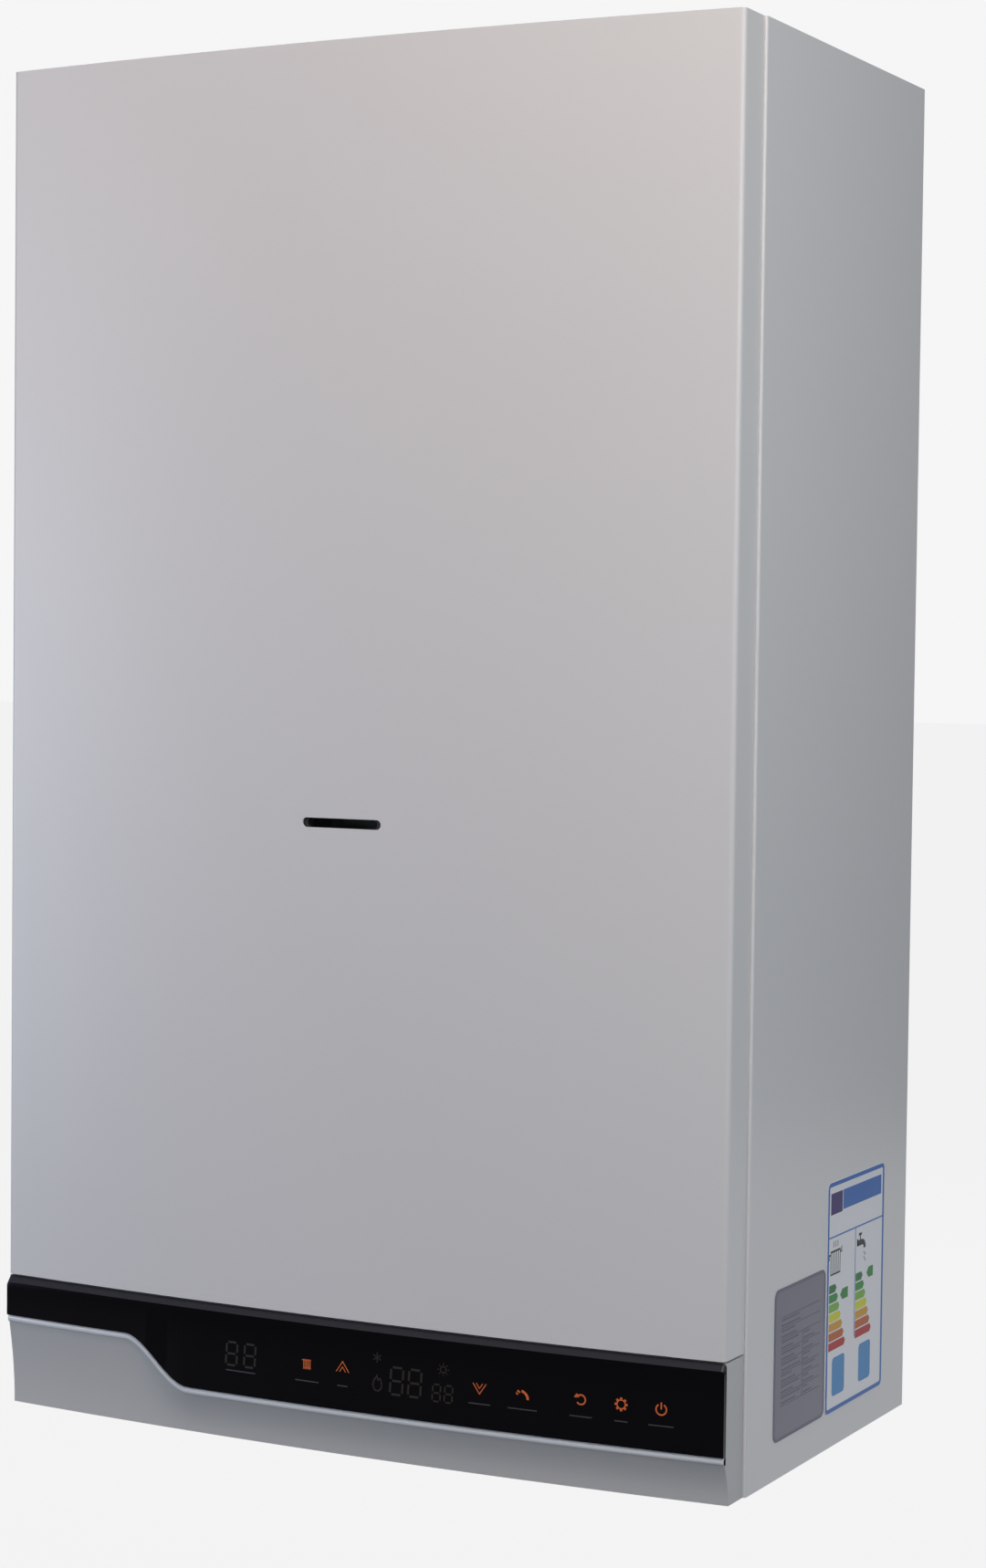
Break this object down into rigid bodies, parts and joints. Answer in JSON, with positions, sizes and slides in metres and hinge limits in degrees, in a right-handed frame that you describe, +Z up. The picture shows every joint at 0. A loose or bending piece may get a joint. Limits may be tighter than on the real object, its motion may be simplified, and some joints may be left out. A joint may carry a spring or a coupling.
{
  "type": "wall-hung gas boiler",
  "caption": "Wall-hung gas boiler with a bowed white cover, a dark touch panel over a light swooping trim, a room-sealed fan flue and all its water and gas parts inside.",
  "frame": {"origin": "midway between the two wall screw holes of the hanging bracket, on the wall plane", "axes": "+Z up, +Y into the wall, +X to the right seen from the front; the front faces -Y"},
  "size_m": [0.4274, 0.2553, 0.754],
  "materials": {
    "white_enamel": "satin white stove enamel",
    "galvanised_sheet": "dull zinc-coated sheet",
    "chamber_sheet": "aluminised sheet",
    "light_plastic": "fine satin moulding",
    "dark_fascia": "gloss black",
    "black_plastic": "matt black",
    "board_green": "solder mask",
    "copper": "drawn copper, lightly tarnished",
    "brass": "hot-pressed brass",
    "stainless": "stainless sheet",
    "screw_steel": "yellow zinc plated",
    "cast_aluminium": "as cast",
    "pump_iron": "dark painted casting",
    "vessel_red": "red paint",
    "fibre_board": "ceramic fibre board",
    "porcelain": "glazed porcelain",
    "wheel_steel": "pressed sheet",
    "rotor_plastic": "moulded",
    "black_rubber": "matt",
    "silicone": "red silicone",
    "red_plastic": "moulded",
    "blue_plastic": "moulded",
    "clear_glass": "clear",
    "label_paper": "printed film",
    "silver_film": "silver film"
  },
  "bodies": {
    "case": {"wall_bracket": "galvanised_sheet", "chassis_frame": "galvanised_sheet", "side_panel_left": "white_enamel", "side_panel_right": "white_enamel", "top_plate": "galvanised_sheet", "bottom_plate": "galvanised_sheet", "sealed_chamber": "chamber_sheet", "chamber_cover": "chamber_sheet", "chamber_glass": "clear_glass", "case_screws": "screw_steel", "flue_adapter": "cast_aluminium", "combustion_chamber": "chamber_sheet", "ceramic_boards": "fibre_board", "heat_exchanger": "copper", "burner": "stainless", "gas_manifold": "stainless", "electrodes": "porcelain", "flue_hood": "chamber_sheet", "fan_housing": "chamber_sheet", "fan_motor": "pump_iron", "pressure_switch": "black_plastic", "sensing_tubes": "silicone", "expansion_vessel": "vessel_red", "vessel_hose": "black_rubber", "diverter_block": "brass", "diverter_motor": "black_plastic", "return_block": "brass", "plate_heat_exchanger": "stainless", "flow_pipe": "copper", "return_pipe": "copper", "hot_water_pipe": "copper", "cold_water_pipe": "brass", "flow_sensor": "black_plastic", "pump_housing": "pump_iron", "pump_motor": "pump_iron", "air_vent": "brass", "safety_valve": "brass", "filling_tap": "brass", "pressure_gauge": "black_plastic", "gas_valve": "cast_aluminium", "gas_pipe": "copper", "cable_grommet": "black_rubber", "info_label": "label_paper", "rating_plate": "silver_film"},
    "cover": {"front_cover": "white_enamel", "peephole_insert": "black_plastic"},
    "panel": {"control_housing": "light_plastic", "touch_fascia": "dark_fascia", "display_board": "board_green", "main_board": "board_green", "electronics_cover": "black_plastic"},
    "fan_wheel": {"fan_impeller": "wheel_steel"},
    "pump_wheel": {"pump_rotor": "rotor_plastic"},
    "turbine": {"flow_turbine": "black_plastic"},
    "spool": {"diverter_spool": "brass"},
    "tap_handle": {"filling_knob": "blue_plastic"},
    "relief_handle": {"safety_valve_knob": "red_plastic"},
    "vent_top": {"vent_cap": "blue_plastic"},
    "needle": {"gauge_pointer": "black_plastic"}
  },
  "joints": [
    {"name": "cover_slide", "type": "slide", "parent": "case", "child": "cover", "axis": [0, -1, 0], "range_m": [0, 0.16]},
    {"name": "panel_tilt", "type": "hinge", "parent": "case", "child": "panel", "pos_m": [0, -0.152, -0.654], "axis": [1, 0, 0], "range_deg": [0, 80]},
    {"name": "fan_spin", "type": "hinge", "parent": "case", "child": "fan_wheel", "pos_m": [0, -0.13, -0.046], "axis": [0, 1, 0], "continuous": true},
    {"name": "pump_spin", "type": "hinge", "parent": "case", "child": "pump_wheel", "pos_m": [0.118, -0.131, -0.51], "axis": [0, 1, 0], "continuous": true},
    {"name": "turbine_spin", "type": "hinge", "parent": "case", "child": "turbine", "pos_m": [0.065, -0.095, -0.592], "axis": [0, 0, 1], "continuous": true},
    {"name": "spool_slide", "type": "slide", "parent": "case", "child": "spool", "axis": [0, 0, 1], "range_m": [0, 0.008]},
    {"name": "tap_turn", "type": "hinge", "parent": "case", "child": "tap_handle", "pos_m": [0.036, -0.126, -0.66], "axis": [0, 0, 1], "range_deg": [0, 360]},
    {"name": "relief_turn", "type": "hinge", "parent": "case", "child": "relief_handle", "pos_m": [0.168, -0.13, -0.576], "axis": [0, 1, 0], "range_deg": [0, 90]},
    {"name": "vent_turn", "type": "hinge", "parent": "case", "child": "vent_top", "pos_m": [0.098, -0.131, -0.436], "axis": [0, 0, 1], "range_deg": [0, 360]},
    {"name": "needle_turn", "type": "hinge", "parent": "case", "child": "needle", "pos_m": [-0.034, -0.118, -0.65], "axis": [0, 0, 1], "range_deg": [-120, 120]}
  ]
}
